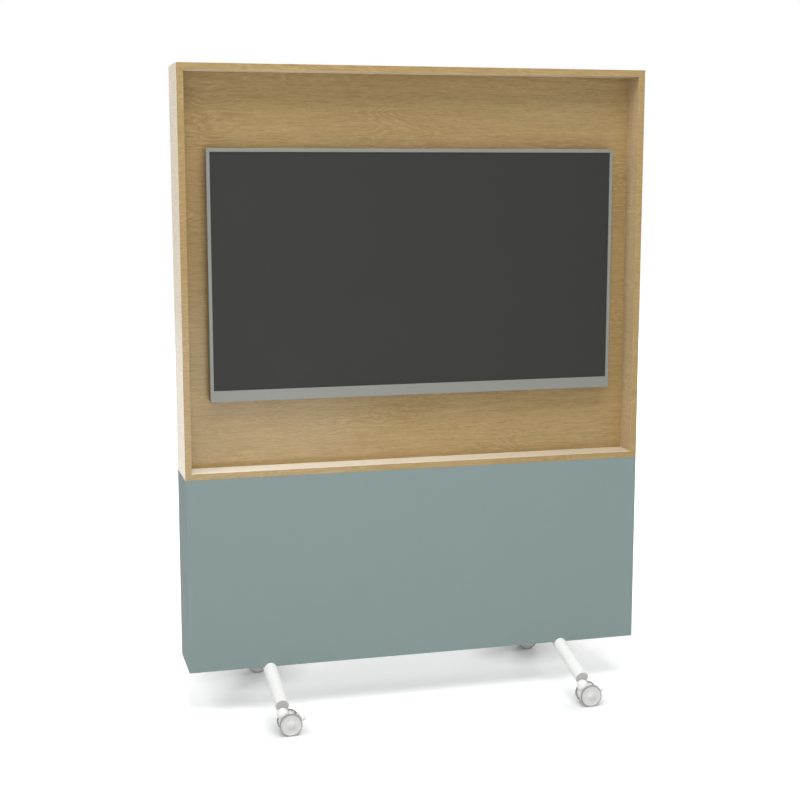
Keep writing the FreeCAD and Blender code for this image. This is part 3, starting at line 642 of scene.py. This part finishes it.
def foot_tube(node):
    low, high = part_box(node)
    x = (low.x + high.x) / 2
    slope_sin = math.sin(tube_slope)
    slope_cos = math.cos(tube_slope)
    end_y = high.y - tube_radius * slope_sin
    apex_z = high.z - plate_thick - saddle_size.z
    straight = (end_y - tube_bend * slope_sin) / slope_cos
    end_z = apex_z - tube_bend * (1 - slope_cos) - straight * slope_sin
    rise = Vector((0.0, slope_cos, slope_sin))
    fall = Vector((0.0, slope_cos, -slope_sin))
    place = Matrix.Translation((x, -end_y, end_z)) @ Matrix.Rotation(tube_slope - math.pi / 2, 4, "X")
    shape = bmesh.new()
    bmesh.ops.create_circle(shape, cap_ends=False, radius=tube_radius, segments=56, matrix=place)
    ring, edges = grown(shape, shape.edges[:], rise * straight)
    bent = bmesh.ops.spin(
        shape, geom=ring + edges, cent=(x, 0.0, apex_z - tube_bend), axis=(1.0, 0.0, 0.0),
        angle=-2 * tube_slope, steps=10,
    )["geom_last"]
    grown(shape, edges_in(bent), fall * straight)
    tube = finished(node + "_tube", shape, "wall", "white_coat", (node,))
    wall = tube.modifiers.new("tube_wall", "SOLIDIFY")
    wall.thickness = tube_wall
    wall.offset = -1.0
    rim = tube.modifiers.new("tube_rim", "BEVEL")
    rim.width = tube_rim
    rim.segments = 2
    rim.limit_method = "ANGLE"
    rim.angle_limit = math.radians(60.0)


def boxed(shape, middle, size):
    place = Matrix.Translation(middle) @ Matrix.Diagonal((*size, 1.0))
    bmesh.ops.create_cube(shape, size=1.0, matrix=place)


def foot_plate(node):
    low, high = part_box(node)
    x = (low.x + high.x) / 2
    bottom = high.z - plate_thick
    plate = bmesh.new()
    boxed(plate, (x, 0.0, bottom + plate_thick / 2), (high.x - low.x, plate_depth, plate_thick))
    rounded_edges(plate, upright_edges(plate), plate_corner, 6)
    rounded_edges(plate, sharp_edges(plate, 60.0), plate_edge, 2)
    saddle = bmesh.new()
    boxed(saddle, (x, 0.0, bottom - saddle_size.z / 2), saddle_size)
    rounded_edges(saddle, saddle.edges[:], saddle_edge, 2)
    finished(node + "_plate", plate, "wall", "white_coat")
    finished(node + "_saddle", saddle, "wall", "white_coat")


# Screws that hold the upper rear panel: low heads with a star recess
def screw_places(left, right, bottom, top):
    places = []
    for index in range(screw_columns):
        x = left + (right - left) * index / (screw_columns - 1)
        places += [(x, bottom), (x, top)]
    for index in range(1, screw_rows - 1):
        z = bottom + (top - bottom) * index / (screw_rows - 1)
        places += [(left, z), (right, z)]
    return places


def rear_screws():
    low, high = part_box("upper_rear_panel")
    shape = bmesh.new()
    for x, z in screw_places(
        low.x + screw_inset, high.x - screw_inset, low.z + screw_inset, high.z - screw_inset
    ):
        turn = Matrix.Translation((x, high.y, z)) @ Matrix.Rotation(-math.pi / 2, 4, "X")
        head = bmesh.ops.create_cone(
            shape, cap_ends=False, segments=24, radius1=screw_radius, radius2=crown_share * screw_radius,
            depth=screw_rise, matrix=turn @ Matrix.Translation((0.0, 0.0, screw_rise / 2)),
        )["verts"]
        crown = [vert for vert in head if vert.co.y > high.y + screw_rise / 2]
        face = bmesh.ops.contextual_create(shape, geom=crown)["faces"]
        bmesh.ops.inset_region(shape, faces=face, thickness=border_share * screw_radius)
        inner = face[0].verts[:]
        middle = Matrix.Translation((-x, -high.y - screw_rise, -z))
        notch = [vert for index, vert in enumerate(inner) if index % 4 < 2]
        bmesh.ops.scale(shape, vec=(notch_share, 1.0, notch_share), verts=notch, space=middle)
        sunk = bmesh.ops.extrude_discrete_faces(shape, faces=face)["faces"]
        bmesh.ops.translate(shape, vec=(0.0, -depth_share * screw_rise, 0.0), verts=sunk[0].verts[:])
    finished("rear_panel_screws", shape, "wall", "zinc_steel")


for corner in caster_corners:
    for which, side in disc_sides.items():
        caster_wheel(corner, which, side)
    knuckle_ball(corner)
    pedal_ribs(corner)
for foot in ("foot_left", "foot_right"):
    foot_tube(foot)
    foot_plate(foot)
rear_screws()


# Studio: a white world, a pale floor that keeps the shadow, six soft lights and the camera
def seen_rays(tree):
    """One for what the camera sees, also in reflections and through glass, and zero for lighting."""
    rays = add(tree, "ShaderNodeLightPath").outputs
    seen = maths(tree, "MAXIMUM", rays["Is Camera Ray"], rays["Is Glossy Ray"])
    return maths(tree, "MAXIMUM", seen, rays["Is Transmission Ray"])


def studio_world():
    world = bpy.data.worlds.new("studio")
    world.use_nodes = True
    tree = world.node_tree
    strength = between(tree, seen_rays(tree), 0.0, 1.0, studio_fill, 1.0)
    feed(tree, tree.nodes["Background"], Color=(1.0, 1.0, 1.0, 1.0), Strength=strength)
    scene.world = world


def floor_glow(tree, place):
    """The floor's glow: it grows with the distance from the middle, and it is weak round each wheel."""
    wheel = joint_places["caster_front_right_swivel_turn"]
    far = between(tree, vector_maths(tree, "LENGTH", place), *floor_reach, *floor_lift)
    folded = vector_maths(tree, "ABSOLUTE", place)
    away = vector_maths(tree, "SUBTRACT", folded, (abs(wheel.x), abs(wheel.y), 0.0))
    near = between(tree, vector_maths(tree, "LENGTH", away), *wheel_reach, *wheel_lift)
    return maths(tree, "ADD", maths(tree, "SUBTRACT", far, floor_lift[0]), near)


def studio_floor():
    mesh = bpy.data.meshes.new("studio_floor")
    shape = bmesh.new()
    bmesh.ops.create_grid(shape, x_segments=1, y_segments=1, size=floor_half)
    shape.to_mesh(mesh)
    shape.free()
    floor = bpy.data.objects.new("studio_floor", mesh)
    scene.collection.objects.link(floor)
    material, tree, shader, place = new_material("studio_floor")
    feed(tree, shader, Base_Color=floor_tone, Roughness=0.9, Specular_IOR_Level=0.0)
    glow = add(tree, "ShaderNodeEmission")
    feed(tree, glow, Strength=maths(tree, "MULTIPLY", seen_rays(tree), floor_glow(tree, place)))
    lifted = add(tree, "ShaderNodeAddShader")
    tree.links.new(shader.outputs[0], lifted.inputs[0])
    tree.links.new(glow.outputs[0], lifted.inputs[1])
    tree.links.new(lifted.outputs[0], tree.nodes["Material Output"].inputs["Surface"])
    mesh.materials.append(material)


def soft_light(name, place, target, size, power):
    data = bpy.data.lights.new(name, "AREA")
    data.shape = "SQUARE"
    data.size = size
    data.energy = power
    lamp = bpy.data.objects.new(name, data)
    lamp.location = place
    lamp.rotation_euler = (Vector(target) - Vector(place)).to_track_quat("-Z", "Y").to_euler()
    scene.collection.objects.link(lamp)


def picture_camera():
    data = bpy.data.cameras.new("picture_camera")
    data.sensor_width = camera_sensor_mm
    data.angle = math.radians(camera_view_deg)
    eye = bpy.data.objects.new("picture_camera", data)
    eye.location = camera_place
    eye.rotation_euler = (math.radians(camera_tilt_deg), 0.0, math.radians(camera_turn_deg))
    scene.collection.objects.link(eye)
    scene.camera = eye


studio_world()
studio_floor()
for light_name, light_facts in studio_lights.items():
    soft_light(light_name, *light_facts)
picture_camera()
